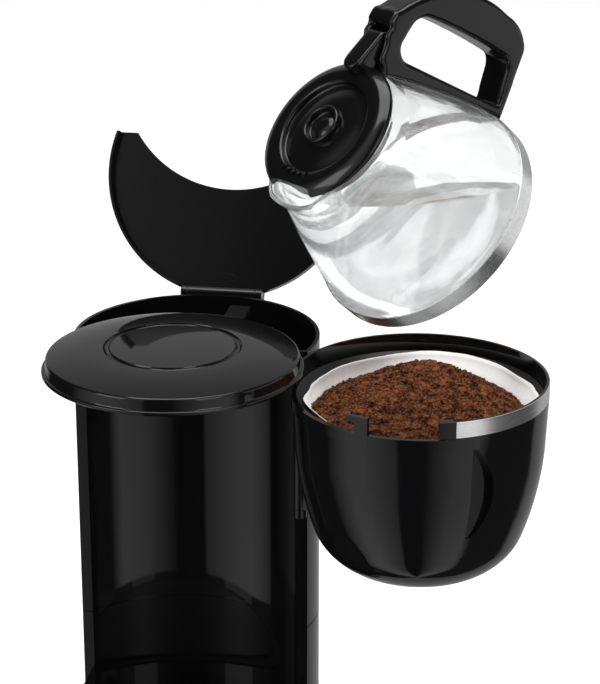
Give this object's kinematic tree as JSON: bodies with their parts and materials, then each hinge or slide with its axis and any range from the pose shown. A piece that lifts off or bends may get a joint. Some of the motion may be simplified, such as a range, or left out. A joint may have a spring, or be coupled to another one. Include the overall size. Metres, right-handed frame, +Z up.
{
  "type": "drip coffee maker",
  "caption": "Drip coffee maker with a crescent water tank behind a round jug bay, hinged tank lid, swing-out filter basket with drip stop, hot plate and a lidded glass jug held up to pour.",
  "frame": {"origin": "on the worktop, under the common axis of the hot plate, the closed basket and the round top cover", "axes": "+Z up, -Y to the front where the user stands, +X to the user's right, the basket's hinge side"},
  "size_m": [0.3281, 0.366, 0.5731],
  "materials": {
    "black_gloss": "polished black moulding",
    "black_satin": "fine satin black",
    "black_rubber": "matt black rubber",
    "steel": "brushed stainless steel",
    "coated_plate": "dark non-stick coating",
    "cast_aluminium": "as extruded",
    "clear_glass": "clear blown glass",
    "lamp_red": "translucent red lens",
    "fuse_white": "white ceramic",
    "filter_paper": "white filter paper",
    "coffee_grounds": "coarse brown grounds"
  },
  "bodies": {
    "machine": {"base_housing": "black_gloss", "base_rear_wall": "black_gloss", "base_bay_wall": "black_gloss", "tank_wall": "black_gloss", "bay_wall": "black_gloss", "roof_frame": "black_gloss", "tank_floor": "black_gloss", "top_cover": "black_gloss", "base_plate": "black_satin", "switch_body": "black_satin", "riser_tube": "black_satin", "shower_head": "black_satin", "shower_arm": "black_satin", "check_valve": "black_satin", "thermostat": "black_satin", "rubber_feet": "black_rubber", "hot_plate_seal": "black_rubber", "inlet_hose": "black_rubber", "riser_hose": "black_rubber", "cord_gland": "black_rubber", "swing_pin": "steel", "lid_pin": "steel", "base_screws": "steel", "clamp_screws": "steel", "heater_clamp": "steel", "hot_plate": "coated_plate", "flow_heater": "cast_aluminium", "indicator_lens": "lamp_red", "thermal_fuse": "fuse_white"},
    "tank_lid": {"tank_lid": "black_gloss"},
    "basket": {"basket_shell": "black_gloss", "trim_band": "steel", "filter_holder": "black_satin", "paper_filter": "filter_paper", "ground_coffee": "coffee_grounds", "valve_seat": "black_satin", "valve_spring": "steel"},
    "drip_valve": {"drip_valve": "black_satin", "valve_seal": "black_rubber"},
    "jug": {"jug_glass": "clear_glass", "jug_band": "steel", "jug_handle": "black_gloss", "handle_screw": "steel", "jug_lid_pin": "steel"},
    "jug_lid": {"jug_lid": "black_gloss", "lid_knob": "black_gloss"},
    "power_rocker": {"power_rocker": "black_satin"}
  },
  "joints": [
    {"name": "basket_swing", "type": "hinge", "parent": "machine", "child": "basket", "pos_m": [0.07509, 0.04382, 0.25], "axis": [0, 0, 1], "range_deg": [-131.4, 0]},
    {"name": "tank_lid_hinge", "type": "hinge", "parent": "machine", "child": "tank_lid", "pos_m": [0, 0.1595, 0.31], "axis": [1, 0, 0], "range_deg": [0, 114]},
    {"name": "jug_lift", "type": "slide", "parent": "machine", "child": "jug", "axis": [0, 0, 1], "range_m": [0, 0.15]},
    {"name": "jug_lid_hinge", "type": "hinge", "parent": "jug", "child": "jug_lid", "pos_m": [0.14221, -0.08623, 0.55266], "axis": [-0.7399, 0.6728, 0], "range_deg": [0, 85]},
    {"name": "drip_stop", "type": "slide", "parent": "basket", "child": "drip_valve", "axis": [0, 0, 1], "range_m": [0, 0.004], "stiffness_N_per_m": 250, "springref_m": -0.003, "deforming": ["valve_spring"]},
    {"name": "power_switch", "type": "hinge", "parent": "machine", "child": "power_rocker", "pos_m": [0, -0.0785, 0.026], "axis": [1, 0, 0], "range_deg": [0, 14]}
  ]
}
